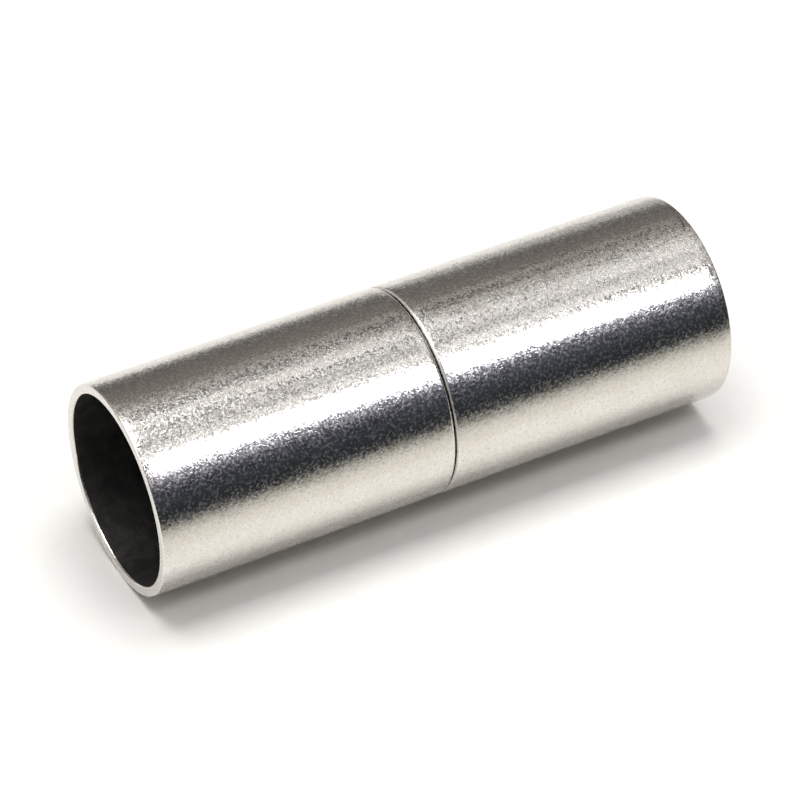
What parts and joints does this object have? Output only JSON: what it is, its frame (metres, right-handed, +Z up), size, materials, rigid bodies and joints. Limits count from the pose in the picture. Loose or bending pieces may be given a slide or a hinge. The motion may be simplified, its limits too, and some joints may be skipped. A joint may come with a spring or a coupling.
{
  "type": "magnetic clasp",
  "caption": "Slim barrel-shaped magnetic clasp for round cord: plain metal tubes with a glue-in cord socket at each outer end, meeting at a hairline seam and held by disc magnets.",
  "frame": {"origin": "on the ground straight below the middle of the seam, at the centre of the footprint", "axes": "+X along the clasp from the left half to the right half, +Y to the back, +Z up; the clasp's axis is parallel to X, 3.5 mm above the ground"},
  "size_m": [0.0204, 0.007, 0.007],
  "materials": {
    "shell": "warm nickel-tone plating, satin from tumbling, fine grain",
    "magnet": "bright nickel plating over magnet alloy"
  },
  "bodies": {
    "left_half": {"left_shell": "shell", "left_magnet": "magnet"},
    "right_half": {"right_shell": "shell", "right_magnet": "magnet"}
  },
  "joints": [
    {"name": "pull_apart", "type": "slide", "parent": "left_half", "child": "right_half", "axis": [1, 0, 0], "range_m": [0, 0.01]}
  ]
}
